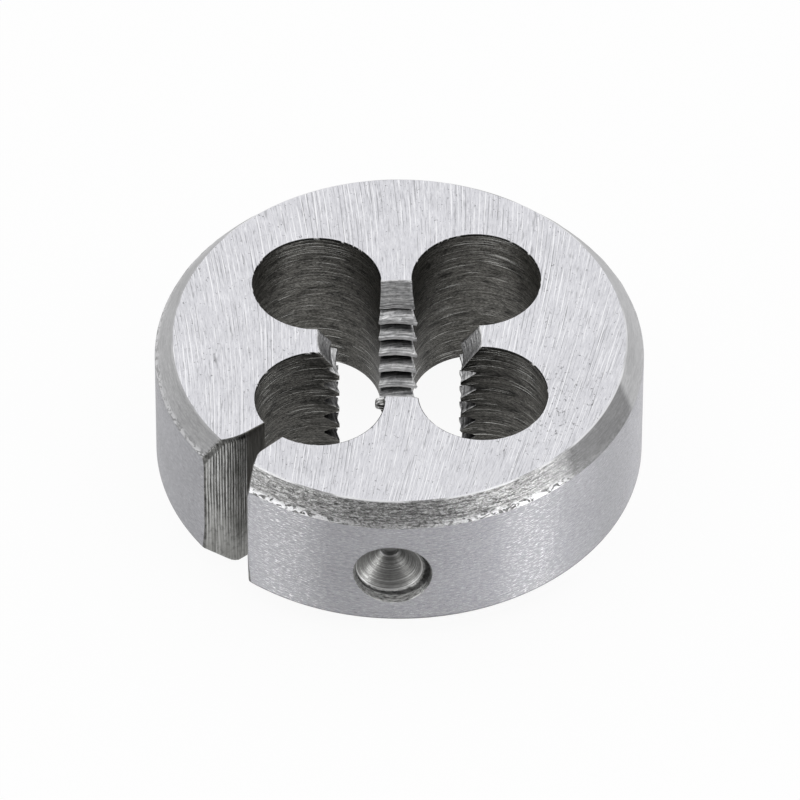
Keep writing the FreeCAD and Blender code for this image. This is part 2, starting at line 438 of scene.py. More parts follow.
lands = [land(number) for number in range(len(TIP_BREAK))]
hole_starts = [saw_left] + [wall[:, -1] for wall, _ in lands]
hole_stops = [wall[:, 0] for wall, _ in lands] + [saw_right]
strips = [
    ("rim", rim),
    ("flare", corner(left_rim, left_corner, left_flank[:, 0], CORNER_STEPS)),
    ("flare", left_flank),
    ("flare", corner(left_flank[:, -1], left_throat, left_saw[:, 0], THROAT_STEPS)),
    ("saw", left_saw),
]
for number, (hole_start, hole_stop) in enumerate(zip(hole_starts, hole_stops)):
    steps = HOLE_STEPS if 0 < number < len(lands) else HOLE_STEPS // 2
    strips.append(("hole", hole_wall(number, hole_start, hole_stop, steps)))
    if number < len(lands):
        strips.append(("land", lands[number][0]))
strips += [
    ("saw", right_saw[:, ::-1]),
    ("flare", corner(right_saw[:, 0], right_throat, right_flank[:, -1], THROAT_STEPS)),
    ("flare", right_flank[:, ::-1]),
    ("flare", corner(right_flank[:, 0], right_corner, right_rim, CORNER_STEPS)),
]
zone_names = ["face", "chamfer", "rim", "hole", "saw", "flare", "land", "seat"]
zone_of = {name: number for number, name in enumerate(zone_names)}
column_zone = np.concatenate([[zone_of[name]] * (strip.shape[1] - 1) for name, strip in strips])
grid = np.moveaxis(np.concatenate([strip[:, :-1] for _, strip in strips], axis=1), 0, 2)
COLUMNS = len(grid)
ahead = np.roll(np.arange(COLUMNS), -1)
step_length = np.linalg.norm(grid[ahead, ROWS // 2, :2] - grid[:, ROWS // 2, :2], axis=1)
along = np.r_[0, np.cumsum(step_length)]

# Marks on the wall: painted shade in a thread root, strength of the burr and its painted glints, and torn,
# which is the torn turning on the chamfer, the painted shade beside the lands in the holes and the filed or
# dark edges of the V.
marks = {name: np.zeros((COLUMNS, ROWS)) for name in ("painted_root_shade", "burr_and_glint", "torn")}
marks["burr_and_glint"][:RIM_STEPS] = rim_burr_and_glint[:-1]
marks["torn"][:RIM_STEPS] = rim_torn[:-1]
land_columns = np.flatnonzero(column_zone == zone_of["land"])
marks["painted_root_shade"][land_columns] = np.concatenate([depth[:-1] for _, depth in lands])
# Painted shade on the holes' walls beside the lands, kept in the torn mark.
hole_columns = np.flatnonzero(column_zone == zone_of["hole"])
to_land = np.abs(along[hole_columns][:, None] - along[land_columns]).min(1)
marks["torn"][hole_columns] = np.exp(-to_land / LAND_SHADE_REACH)[:, None]
flare_columns = column_zone == zone_of["flare"]
flare_radius = np.hypot(grid[:, :, 0], grid[:, :, 1])
chamfer_gap = (top_chamfer_line(grid[:, :, 2]) - flare_radius) * SQUARE_TO_CHAMFER
flare_gap = np.minimum(THICK - grid[:, :, 2], chamfer_gap)
filed = np.clip(FILED_DARK - flare_gap / FILED_WIDTH, 0, 1)
edge_dark = np.clip(1 - (RIM_R - flare_radius) / EDGE_DARK_WIDTH, 0, 1) * EDGE_DARK_SHARE
marks["torn"][flare_columns] = np.maximum(filed, edge_dark)[flare_columns]

# Screw seats: drilled into the rim at mid height, with a short steep mouth, a 90 degree cone that stands a
# little to one side of it, and a pilot. The rim's grid is opened round each seat and closed again with rings
# of the seat's turned profile.
SEAT_AZIMUTHS = np.radians([-91.4, 88.6])
SEAT_WINDOW, WINDOW_SPARE_ACROSS, WINDOW_SPARE_UP = 3.55, 0.3, 0.1
SEAT_MOUTH_R = 3.0
CONE_TOP_R, CONE_TOP_DEPTH = 2.55, 0.84
CONE_SHIFT, CONE_LIFT = -0.3, 0.12
CONE_SHIFT_FROM, CONE_SHIFT_OVER = 0.68, 0.14
CONE_STEPS = 16
PILOT_R, PILOT_END = 0.72, 3.0
CONE_RIDGES = ((2.55, 0.035), (2.2, 0.05), (1.75, 0.03), (1.2, 0.025))
RIDGE_WIDTH = 0.07
FLATTENED_AT = 0.5

# The wall's map in a seat: millimetres for one turn, and the profile's length just before the mouth.
SEAT_TURN = 19.0
BEFORE_MOUTH = -0.05
SHARP_ANGLE = math.radians(32)

cone_r = np.linspace(CONE_TOP_R, PILOT_R, CONE_STEPS)
cone_depth = CONE_TOP_DEPTH + CONE_TOP_R - cone_r
SURFACE_RINGS = [3.3, 3.05]
PROFILE_R = np.r_[SEAT_MOUTH_R, 2.985, 2.97, 2.93, 2.905, 2.88, 2.8, cone_r, 0.715, 0.7]
PROFILE_DEPTH = np.r_[0.015, 0.06, 0.15, 0.4, 0.6, 0.68, 0.74, cone_depth, cone_depth[-1] + 0.06, PILOT_END]
for ridge_r, ridge_height in CONE_RIDGES:
    PROFILE_DEPTH = PROFILE_DEPTH - ridge_height * bell(PROFILE_R, ridge_r, RIDGE_WIDTH)
profile_length = np.r_[0, np.cumsum(np.hypot(np.diff(PROFILE_R), np.diff(PROFILE_DEPTH)))]

index = np.arange(COLUMNS * ROWS).reshape(COLUMNS, ROWS)
closed = np.ones((COLUMNS, ROWS - 1), bool)
vertices = [grid.reshape(-1, 3)]
quads, quad_zones, quad_uvs = [], [], []
caps = [index[:, -1], index[::-1, 0]]
total = COLUMNS * ROWS
middle_z = THICK / 2

for seat in SEAT_AZIMUTHS:
    places = np.arctan2(grid[:RIM_STEPS, ROWS // 2, 1], grid[:RIM_STEPS, ROWS // 2, 0])
    across = ((places - seat + math.pi) % (2 * math.pi) - math.pi) * RIM_R
    inside = np.flatnonzero(np.abs(across) < SEAT_WINDOW + WINDOW_SPARE_ACROSS)
    level = np.flatnonzero(np.abs(RIM_ROWS - middle_z) < SEAT_WINDOW + WINDOW_SPARE_UP)
    left, right, foot, top = inside[0], inside[-1], level[0], level[-1]
    closed[left:right, foot:top] = False
    edge_i = np.r_[np.arange(left, right), np.full(top - foot, right),
                   np.arange(right, left, -1), np.full(top - foot, left)]
    edge_j = np.r_[np.full(right - left, foot), np.arange(foot, top),
                   np.full(right - left, top), np.arange(top, foot, -1)]
    angle = np.arctan2(RIM_ROWS[edge_j] - middle_z, across[edge_i])
    forward = np.array([math.cos(seat), math.sin(seat), 0])
    sideways = np.array([-math.sin(seat), math.cos(seat), 0])
    seat_along = np.interp(0, across[left:right + 1], along[left:right + 1])
    ring = index[edge_i, edge_j]
    ring_uv = np.stack([along[edge_i], RIM_ROWS[edge_j]], 1)
    levels = [(r, 0.0, None) for r in SURFACE_RINGS]
    levels += list(zip(PROFILE_R, PROFILE_DEPTH, profile_length))
    reached = BEFORE_MOUTH
    for r, depth, length in levels:
        on_rim = length is None
        offset = np.clip((depth - CONE_SHIFT_FROM) / CONE_SHIFT_OVER, 0, 1)
        side = r * np.cos(angle) + CONE_SHIFT * offset
        surface = np.sqrt(RIM_R ** 2 - side ** 2)
        flattened = np.clip(depth / FLATTENED_AT, 0, 1)
        out = surface + (RIM_R - depth - surface) * flattened - depth * (1 - flattened)
        points = out[:, None] * forward + side[:, None] * sideways
        points[:, 2] = middle_z + r * np.sin(angle) + CONE_LIFT * offset
        new = total + np.arange(len(ring))
        total += len(ring)
        vertices.append(points)
        after = np.roll(np.arange(len(ring)), -1)
        if on_rim:
            new_uv = np.stack([seat_along + RIM_R * np.arcsin(side / RIM_R), points[:, 2]], 1)
            corners = [ring_uv, ring_uv[after], new_uv[after], new_uv]
        else:
            new_uv = np.stack([np.arange(len(ring)) * SEAT_TURN / len(ring), length + 0 * side], 1)
            turned = new_uv[after]
            turned[-1, 0] = SEAT_TURN
            previous = np.stack([new_uv[:, 0], reached + 0 * side], 1)
            previous_turned = np.stack([turned[:, 0], previous[:, 1]], 1)
            corners = [previous, previous_turned, turned, new_uv]
            reached = length
        quads.append(np.stack([ring, ring[after], new[after], new], 1))
        quad_uvs.append(np.stack(corners, 1))
        quad_zones.append(np.full(len(ring), zone_of["rim" if on_rim else "seat"]))
        ring, ring_uv = new, new_uv
    caps.append(ring)

# The mesh: every square of the wall that no seat opened, the seats' rings, and caps on the faces and pilots.
here_i, here_j = np.nonzero(closed)
next_i = ahead[here_i]
quads.append(np.stack([index[here_i, here_j], index[next_i, here_j],
                       index[next_i, here_j + 1], index[here_i, here_j + 1]], 1))
u, u_next, v = along[here_i], along[here_i + 1], grid[:, :, 2]
lower, lower_next = v[here_i, here_j], v[next_i, here_j]
upper, upper_next = v[here_i, here_j + 1], v[next_i, here_j + 1]
square = [(u, lower), (u_next, lower_next), (u_next, upper_next), (u, upper)]
quad_uvs.append(np.stack([np.stack(place, 1) for place in square], 1))
zone = column_zone[here_i]
height = (lower + upper) / 2
on_chamfer = (zone == zone_of["rim"]) & ((height < BOTTOM_CHAMFER[1]) | (height > TOP_CORNER))
zone = np.where(on_chamfer, zone_of["chamfer"], zone)
on_face = (here_j < len(FLAT_INSETS)) | (here_j >= ROWS - 1 - len(FLAT_INSETS))
quad_zones.append(np.where(on_face, zone_of["face"], zone))

quads = np.concatenate(quads)
cap_corners = sum(len(cap) for cap in caps)
cap_zones = [zone_of[name] for name in ("face", "face", "seat", "seat")]
mesh = bpy.data.meshes.new("die_body")
mesh.from_pydata(np.concatenate(vertices) * MM, [], quads.tolist() + [cap.tolist() for cap in caps])
layer = mesh.uv_layers.new(name="wall")
wall_map = np.r_[np.concatenate(quad_uvs).ravel(), np.zeros(2 * cap_corners)]
layer.uv.foreach_set("vector", wall_map.astype("f"))
mesh.polygons.foreach_set("material_index", np.r_[np.concatenate(quad_zones), cap_zones].astype("i"))
mesh.polygons.foreach_set("use_smooth", np.ones(len(mesh.polygons), bool))
for name, values in marks.items():
    mark = mesh.attributes.new(name, "FLOAT", "POINT")
    mark.data.foreach_set("value", np.r_[values.ravel(), np.zeros(total - values.size)].astype("f"))
mesh.update()
mesh.set_sharp_from_angle(angle=SHARP_ANGLE)
die = bpy.data.objects.new("die_body", mesh)
bpy.context.scene.collection.objects.link(die)


# Finishes: each way of cutting the steel leaves its own surface. Patterns follow the wall's own map, in
# millimetres along and up the wall, and on the flat faces the plan, fanned as the grinding wheel left it.
def node(tree, kind, *links, **values):
    """Adds a node; links go to its inputs in order, a value sets the property or the input of that name."""
    made = tree.nodes.new("ShaderNode" + kind)
    for name, value in values.items():
        if hasattr(made, name):
            setattr(made, name, value)
        else:
            made.inputs[name.replace("_", " ")].default_value = value
    for slot, value in enumerate(links):
        if isinstance(value, bpy.types.NodeSocket):
            tree.links.new(value, made.inputs[slot])
        elif value is not None:
            made.inputs[slot].default_value = value
    return made


def maths(tree, operation, a, b=None, c=None):
    """One arithmetic step on two or three values."""
    return node(tree, "Math", a, b, c, operation=operation).outputs[0]


def grain(tree, place, stretch, detail=2.0, offset=0.0, roughness=0.5, distortion=0.0):
    """Noise stretched into lines: the place is scaled along each axis, so a large scale makes thin lines."""
    moved = node(tree, "Mapping", place)
    moved.inputs["Scale"].default_value = stretch
    moved.inputs["Location"].default_value = (offset, offset * 0.7, 0)
    made = node(tree, "TexNoise", moved.outputs[0], Scale=1.0, Detail=detail, Roughness=roughness,
                Distortion=distortion)
    return made.outputs["Fac"]


def ramp(tree, value, stops):
    """Colour or grey by value, through the given stops."""
    made = node(tree, "ValToRGB", value)
    while len(made.color_ramp.elements) < len(stops):
        made.color_ramp.elements.new(0.5)
    for element, (position, grey) in zip(made.color_ramp.elements, stops):
        element.position = position
        element.color = (*grey, 1) if isinstance(grey, tuple) else (grey, grey, grey, 1)
    return made.outputs[0]


def mixed(tree, kind, factor, a, b):
    """Two colours mixed in the given way."""
    made = node(tree, "Mix", data_type="RGBA", blend_type=kind, clamp_factor=True)
    for slot, value in ((0, factor), (6, a), (7, b)):
        if isinstance(value, bpy.types.NodeSocket):
            tree.links.new(value, made.inputs[slot])
        else:
            made.inputs[slot].default_value = value
    return made.outputs[2]


def toned(tree, colour, value, stops):
    """A colour darkened by the grey that a value has through the given stops."""
    return mixed(tree, "MULTIPLY", 1.0, colour, ramp(tree, value, stops))


def mark_on(tree, name):
    """Reads one of the marks kept on the wall's points."""
    return node(tree, "Attribute", attribute_name=name).outputs["Fac"]


def share_of(tree, value, low, high):
    """Share that climbs from nothing to one as a value climbs from low to high."""
    return node(tree, "MapRange", value, low, high, 0.0, 1.0, clamp=True).outputs[0]


def in_millimetres(tree, scale=(1000, 1000, 1000)):
    """The place on the die, scaled along each axis from metres."""
    place = node(tree, "TexCoord").outputs["Object"]
    return node(tree, "VectorMath", place, scale, operation="MULTIPLY").outputs[0]


def new_finish(name, roughness, drawn=0.0):
    """A bare steel material on the wall's map; drawn is how far tool lines along it stretch its gloss."""
    material = bpy.data.materials.new(name)
    material.use_nodes = True
    tree = material.node_tree
    shader = tree.nodes["Principled BSDF"]
    shader.inputs["Metallic"].default_value = 1.0
    shader.inputs["Roughness"].default_value = roughness
    wall = node(tree, "UVMap", uv_map="wall").outputs[0]
    if drawn:
        shader.inputs["Anisotropic"].default_value = drawn
        shader.inputs["Anisotropic Rotation"].default_value = 0.25
        lines_way = node(tree, "Tangent", direction_type="UV_MAP", uv_map="wall")
        tree.links.new(lines_way.outputs[0], shader.inputs["Tangent"])
    return material, tree, shader, wall


def finish_off(tree, shader, colour, bumps, rough=None):
    """Links colour, roughness and a chain of bumps, each a height with its depth in millimetres."""
    tree.links.new(colour, shader.inputs["Base Color"])
    if rough is not None:
        tree.links.new(rough, shader.inputs["Roughness"])
    normal = None
    for height, depth in bumps:
        bump = node(tree, "Bump", Strength=1.0, Distance=depth * MM)
        tree.links.new(height, bump.inputs["Height"])
        if normal is not None:
            tree.links.new(normal, bump.inputs["Normal"])
        normal = bump.outputs[0]
    tree.links.new(normal, shader.inputs["Normal"])


def level_mask(tree, wall, low, high):
    """Share that falls from one to nothing as the wall's height climbs from one level to another."""
    height = node(tree, "SeparateXYZ", wall).outputs[1]
    return node(tree, "MapRange", height, low, high, 1.0, 0.0, clamp=True).outputs[0]


def hairlines(tree, across, place, spacing, offset):
    """Thin lines that wander, come and go: a sine of the place across them, over a noise along them."""
    sway = maths(tree, "MULTIPLY", grain(tree, place, (0.9, 0.05, 1.0), detail=1.0, offset=offset), 12.0)
    wave = maths(tree, "SINE", maths(tree, "MULTIPLY_ADD", across, 2 * math.pi / spacing, sway))
    presence = grain(tree, place, (1.6, 0.28, 1.0), detail=1.0, offset=offset + 7.0)
    return maths(tree, "MULTIPLY_ADD", wave, 0.62, maths(tree, "MULTIPLY", presence, 0.52))


# The grinding lines fan out towards the back: the place across them is counted from a far middle, leans
# with y and shrinks as y grows. The pits gather round the scuffed place.
FAN_LEAN, FAN_MIDDLE, FAN_SPREAD = -0.727, -60.7, -0.011
SCUFF_PLACE, SCUFF_NEAR, SCUFF_FAR = (11.5, -7.5, THICK), 2.0, 7.0


def ground_face():
    """Grinding lines that lean and fan out, a few crossing scratches, and pits, most of them at the right."""
    material, tree, shader, _ = new_finish("ground_face", roughness=0.34)
    plan = in_millimetres(tree)
    axes = node(tree, "SeparateXYZ", plan)
    leaning = maths(tree, "MULTIPLY_ADD", axes.outputs[1], FAN_LEAN, FAN_MIDDLE)
    spread = maths(tree, "EXPONENT", maths(tree, "MULTIPLY", axes.outputs[1], FAN_SPREAD))
    fanned = maths(tree, "MULTIPLY", maths(tree, "ADD", axes.outputs[0], leaning), spread)
    lined = node(tree, "CombineXYZ", fanned, axes.outputs[1], axes.outputs[2]).outputs[0]
    fine = grain(tree, lined, (13.0, 1.3, 1.0), detail=3.0, offset=3.0, roughness=0.7)
    scored = hairlines(tree, fanned, lined, spacing=0.31, offset=9.0)
    bright = hairlines(tree, fanned, lined, spacing=0.37, offset=44.0)
    short = grain(tree, lined, (5.0, 0.5, 1.0), detail=1.0, offset=62.0)
    crossing = grain(tree, plan, (2.4, 0.6, 1.0), detail=1.0, offset=17.0)
    spots = grain(tree, plan, (4.5, 4.0, 1.0), detail=3.0, offset=23.0, roughness=0.6)
    cloud = grain(tree, plan, (0.16, 0.16, 1.0), offset=31.0)
    colour = ramp(tree, fine, [
        (0.3, (0.52, 0.52, 0.55)), (0.45, (0.69, 0.69, 0.725)),
        (0.56, (0.73, 0.73, 0.765)), (0.7, (0.9, 0.9, 0.93))])
    colour = toned(tree, colour, scored, [(0.86, 1.0), (0.91, 0.62)])
    colour = toned(tree, colour, short, [(0.26, 0.72), (0.34, 1.0)])
    colour = toned(tree, colour, cloud, [(0.3, 0.95), (0.7, 1.0)])
    from_scuff = node(tree, "VectorMath", plan, SCUFF_PLACE, operation="DISTANCE").outputs["Value"]
    scuffed = node(tree, "MapRange", from_scuff, SCUFF_NEAR, SCUFF_FAR, 1.0, 0.0, clamp=True).outputs[0]
    pitted = maths(tree, "MULTIPLY_ADD", scuffed, -0.05, spots)
    colour = toned(tree, colour, pitted, [(0.28, 0.35), (0.36, 1.0)])
    colour = toned(tree, colour, crossing, [(0.2, 0.75), (0.29, 1.0)])
    colour = mixed(tree, "MIX", ramp(tree, bright, [(0.84, 0.0), (0.89, 0.8)]), colour, (0.97, 0.97, 0.99, 1))
    rough = ramp(tree, fine, [(0.3, 0.4), (0.7, 0.3)])
    finish_off(tree, shader, colour, [(fine, 0.01), (spots, 0.012)], rough)
    return material


# Places along the wall's map, which starts at the slot's right side and runs by the front, the right, the
# back and the left: the length of the front part, and where the part beside the slot begins and is full.
# They place the painted light and shade on the chamfer.
FRONT_SPAN = 40.0
FRONT_SLANT = 0.8
SLOT_SIDE_FROM, SLOT_SIDE_TO = 104.0, 114.0
BURR_AND_GLINT_MIX = 0.95


def turned_chamfer():
    """Turning left unground: torn rings at the front, smooth at the sides, burrs along the corner with
    painted glints and shade, painted light and shade by place, and a painted highlight along the top edge.
    """
    material, tree, shader, wall = new_finish("turned_chamfer", roughness=0.48, drawn=0.55)
    rings = grain(tree, wall, (0.9, 10.0, 1.0), detail=3.0, offset=2.0, roughness=0.65, distortion=0.6)
    torn = grain(tree, wall, (3.2, 10.0, 1.0), detail=3.0, offset=7.0, roughness=0.75, distortion=0.8)
    cloud = grain(tree, wall, (0.12, 0.6, 1.0), offset=12.0)
    chips = grain(tree, wall, (1.5, 3.6, 1.0), offset=33.0, distortion=1.5)
    rough_part = ramp(tree, torn, [
        (0.32, (0.14, 0.14, 0.137)), (0.5, (0.5, 0.5, 0.495)), (0.64, (1.0, 1.0, 1.0))])
    rough_part = toned(tree, rough_part, rings, [(0.36, 0.35), (0.56, 1.0)])
    place = node(tree, "SeparateXYZ", wall)
    from_top = maths(tree, "SUBTRACT", THICK, place.outputs[1])
    slanted = maths(tree, "MULTIPLY_ADD", from_top, FRONT_SLANT, place.outputs[0])
    front_place = share_of(tree, slanted, 0.0, FRONT_SPAN)
    # Painted light and shade on the torn part, changing along the front.
    rough_part = toned(tree, rough_part, front_place, [
        (0.1, 0.74), (0.25, 0.56), (0.4, 0.58), (0.54, 0.78), (0.65, 0.78), (0.72, 0.5)])
    smooth_part = ramp(tree, rings, [(0.3, (0.47, 0.47, 0.477)), (0.7, (0.57, 0.57, 0.578))])
    # Painted shade: a darker stretch of the smooth part towards the right, lighter past it.
    smooth_part = toned(tree, smooth_part, front_place, [
        (0.69, 1.0), (0.72, 0.53), (0.925, 0.53), (0.945, 1.05)])
    # Painted shade: the smooth part darker beside the slot.
    painted_shade_by_slot = share_of(tree, place.outputs[0], SLOT_SIDE_FROM, SLOT_SIDE_TO)
    smooth_part = mixed(tree, "MULTIPLY", painted_shade_by_slot, smooth_part, (0.76, 0.76, 0.76, 1))
    share = mark_on(tree, "torn")
    colour = mixed(tree, "MIX", share, smooth_part, rough_part)
    colour = toned(tree, colour, cloud, [(0.35, 0.85), (0.6, 1.0)])
    burr_glint_share = mark_on(tree, "burr_and_glint")
    # The burr's colour: raw steel with painted glints and painted shade in its chips.
    burr_and_glint_colour = ramp(tree, chips, [
        (0.42, (0.08, 0.08, 0.08)), (0.47, (0.4, 0.4, 0.4)), (0.51, (0.98, 0.98, 1.0))])
    colour = mixed(tree, "MIX", maths(tree, "MULTIPLY", burr_glint_share, BURR_AND_GLINT_MIX), colour, burr_and_glint_colour)
    # Painted highlight along the top edge, broken by noise.
    painted_top_edge_highlight = maths(tree, "SUBTRACT", 1.0, level_mask(tree, wall, THICK - 0.1, THICK - 0.05))
    painted_top_edge_highlight = maths(tree, "MULTIPLY", painted_top_edge_highlight, ramp(tree, cloud, [(0.46, 0.15), (0.54, 0.8)]))
    colour = mixed(tree, "MIX", painted_top_edge_highlight, colour, (0.85, 0.85, 0.87, 1))
    torn_relief = maths(tree, "MULTIPLY", torn, share)
    burr_relief = maths(tree, "MULTIPLY", chips, burr_glint_share)
    finish_off(tree, shader, colour, [(rings, 0.01), (torn_relief, 0.045), (burr_relief, 0.06)])
    return material


# Length of the whole rim along the map, and how much the two bands of painted light lighten it.
RIM_SPAN = 120.0
PAINTED_BAND_MIX = 0.17


def ground_rim():
    """Cylindrical grinding: short streaks round the rim over a grey with painted light and shade by place,
    two bands of painted light with painted glints, and a painted shade line at its foot.
    """
    material, tree, shader, wall = new_finish("ground_rim", roughness=0.4, drawn=0.85)
    streak = grain(tree, wall, (2.2, 11.0, 1.0), detail=3.0, offset=5.0, roughness=0.65)
    long_streak = grain(tree, wall, (0.3, 6.0, 1.0), offset=8.0)
    cloud = grain(tree, wall, (0.2, 0.2, 1.0), offset=15.0)
    spots = grain(tree, wall, (2.4, 9.0, 1.0), offset=27.0)
    colour = ramp(tree, streak, [
        (0.3, (0.4, 0.4, 0.42)), (0.45, (0.5, 0.5, 0.53)),
        (0.58, (0.54, 0.54, 0.57)), (0.68, (0.8, 0.8, 0.83))])
    colour = toned(tree, colour, long_streak, [(0.3, 0.85), (0.7, 1.0)])
    colour = toned(tree, colour, cloud, [(0.3, 0.9), (0.7, 1.0)])
    colour = toned(tree, colour, spots, [(0.27, 0.5), (0.35, 1.0)])
    place = share_of(tree, node(tree, "SeparateXYZ", wall).outputs[0], 0.0, RIM_SPAN)
    # Painted light and shade: the rim darker or lighter by its place round the die.
    colour = toned(tree, colour, place, [
        (0.05, 0.71), (0.15, 0.7), (0.19, 0.74), (0.26, 0.72), (0.32, 1.0), (0.6, 1.0), (0.7, 0.73)])
    # Two bands of painted light, with painted glints in them.
    painted_bands = ramp(tree, place, [
        (0.0, 0.2), (0.02, 0.75), (0.04, 0.75), (0.058, 0.15),
        (0.165, 0.15), (0.185, 0.85), (0.203, 0.85), (0.225, 0.15)])
    colour = mixed(tree, "MIX", maths(tree, "MULTIPLY", painted_bands, PAINTED_BAND_MIX), colour, (0.75, 0.75, 0.78, 1))
    painted_glints = grain(tree, wall, (2.0, 12.0, 1.0), offset=36.0, roughness=0.6)
    painted_glints = maths(tree, "MULTIPLY", painted_bands, ramp(tree, painted_glints, [(0.57, 0.0), (0.63, 1.0)]))
    colour = mixed(tree, "MIX", painted_glints, colour, (1.0, 1.0, 1.0, 1))
    # Painted shade: a dark line along the rim's foot.
    foot = level_mask(tree, wall, BOTTOM_CHAMFER[1] + 0.02, BOTTOM_CHAMFER[1] + 0.16)
    colour = mixed(tree, "MIX", foot, colour, (0.16, 0.16, 0.165, 1))
    rough = ramp(tree, streak, [(0.3, 0.44), (0.7, 0.32)])
    finish_off(tree, shader, colour, [(streak, 0.12), (long_streak, 0.01)], rough)
    return material


def drilled_hole():
    """Dark hardened skin: circling tool marks, scorched patches, rubbed arcs, painted shade lower down and
    beside the lands, and a thin band under the mouth, nearly black in places and light in others."""
    material, tree, shader, wall = new_finish("drilled_hole", roughness=0.44)
    arcs = grain(tree, wall, (0.25, 6.0, 1.0), detail=4.0, offset=4.0, roughness=0.7)
    rubbed = grain(tree, wall, (0.22, 13.0, 1.0), detail=1.0, offset=14.0)
    mouth = maths(tree, "SUBTRACT", 1.0, level_mask(tree, wall, THICK - 5.0, THICK - 0.5))
    rubbed = maths(tree, "MULTIPLY_ADD", mouth, 0.09, rubbed)
    patches = grain(tree, wall, (0.7, 1.2, 1.0), detail=4.0, offset=41.0, roughness=0.7)
    pits = grain(tree, wall, (5.0, 8.0, 1.0), detail=3.0, offset=21.0, roughness=0.65)
    rim_line = level_mask(tree, wall, THICK - 0.16, THICK - 0.1)
    colour = ramp(tree, arcs, [
        (0.3, (0.08, 0.078, 0.071)), (0.5, (0.175, 0.17, 0.156)), (0.7, (0.33, 0.324, 0.306))])
    colour = toned(tree, colour, patches, [(0.33, 0.28), (0.52, 1.0)])
    colour = toned(tree, colour, pits, [(0.34, 0.4), (0.5, 1.0), (0.66, 1.7)])
    # Painted shade: darker towards the bottom of the hole.
    colour = mixed(tree, "MULTIPLY", level_mask(tree, wall, 0.0, 9.0), colour, (0.42, 0.42, 0.42, 1))
    # Painted shade on the walls beside the lands, weaker near the foot.
    painted_shade_beside_land = mark_on(tree, "torn")
    above_foot = maths(tree, "SUBTRACT", 1.1, level_mask(tree, wall, 3.0, 9.0))
    painted_shade_beside_land = maths(tree, "MULTIPLY", painted_shade_beside_land, above_foot)
    colour = mixed(tree, "MULTIPLY", painted_shade_beside_land, colour, (0.16, 0.16, 0.16, 1))
    colour = mixed(tree, "MIX", ramp(tree, rubbed, [(0.7, 0.0), (0.725, 1.0)]), colour, (0.62, 0.62, 0.6, 1))
    edge = ramp(tree, grain(tree, wall, (1.6, 0.1, 1.0), offset=52.0), [
        (0.57, (0.03, 0.03, 0.028)), (0.63, (0.7, 0.7, 0.71))])
    colour = mixed(tree, "MIX", rim_line, edge, colour)
    rough = ramp(tree, rubbed, [(0.5, 0.48), (0.76, 0.26)])
    finish_off(tree, shader, colour, [(arcs, 0.035), (patches, 0.05), (pits, 0.03)], rough)
    return material


def axis_distance(tree):
    """Distance from the thread axis, in millimetres."""
    plan = in_millimetres(tree, (1000, 1000, 0))
    return node(tree, "VectorMath", plan, operation="LENGTH").outputs["Value"]


def slot_lines(tree, stretch, offset):
    """Lines that run straight up the slot's walls: noise by distance from the thread axis and by height."""
    height = node(tree, "SeparateXYZ", in_millimetres(tree)).outputs[2]
    place = node(tree, "CombineXYZ", axis_distance(tree), height, 0.0).outputs[0]
    return grain(tree, place, stretch, detail=3.0, offset=offset, roughness=0.6)


def sawn_slot():
    """Saw cut: very dark oxide with faint lines along the cut."""
    material, tree, shader, _ = new_finish("sawn_slot", roughness=0.5)
    lines = slot_lines(tree, (5.0, 0.3, 1.0), offset=6.0)
    colour = ramp(tree, lines, [(0.3, (0.08, 0.078, 0.07)), (0.7, (0.24, 0.235, 0.22))])
    finish_off(tree, shader, colour, [(lines, 0.03)])
    return material


def milled_flare():
    """Even cutter lines down the V's flanks, fading lower down, and filed upper edges, dark and mottled."""
    material, tree, shader, wall = new_finish("milled_flare", roughness=0.38)
    sway = slot_lines(tree, (1.2, 0.12, 1.0), offset=8.0)
    patches = slot_lines(tree, (3.0, 1.6, 1.0), offset=19.0)
    fine = slot_lines(tree, (9.0, 0.25, 1.0), offset=27.0)
    phase = maths(tree, "MULTIPLY_ADD", axis_distance(tree), 31.0, maths(tree, "MULTIPLY", sway, 7.0))
    height = node(tree, "SeparateXYZ", wall).outputs[1]
    strength = node(tree, "MapRange", height, 2.0, 7.0, 0.03, 0.17, clamp=True).outputs[0]
    fine = maths(tree, "MULTIPLY_ADD", fine, 0.6, 0.2)
    wave = maths(tree, "MULTIPLY_ADD", maths(tree, "SINE", phase), strength, fine)
    colour = ramp(tree, wave, [
        (0.32, (0.1, 0.1, 0.095)), (0.44, (0.3, 0.3, 0.29)),
        (0.56, (0.4, 0.4, 0.39)), (0.7, (0.68, 0.68, 0.68))])
    colour = mixed(tree, "MULTIPLY", level_mask(tree, wall, 0.5, 5.0), colour, (0.62, 0.62, 0.61, 1))
    colour = toned(tree, colour, patches, [(0.3, 0.6), (0.5, 1.0)])
    filed = mark_on(tree, "torn")
    filed_colour = ramp(tree, patches, [(0.35, (0.04, 0.04, 0.038)), (0.6, (0.17, 0.17, 0.165))])
    colour = mixed(tree, "MIX", ramp(tree, filed, [(0.15, 0.0), (0.5, 1.0)]), colour, filed_colour)
    finish_off(tree, shader, colour, [(wave, 0.05), (patches, 0.03)])
    return material


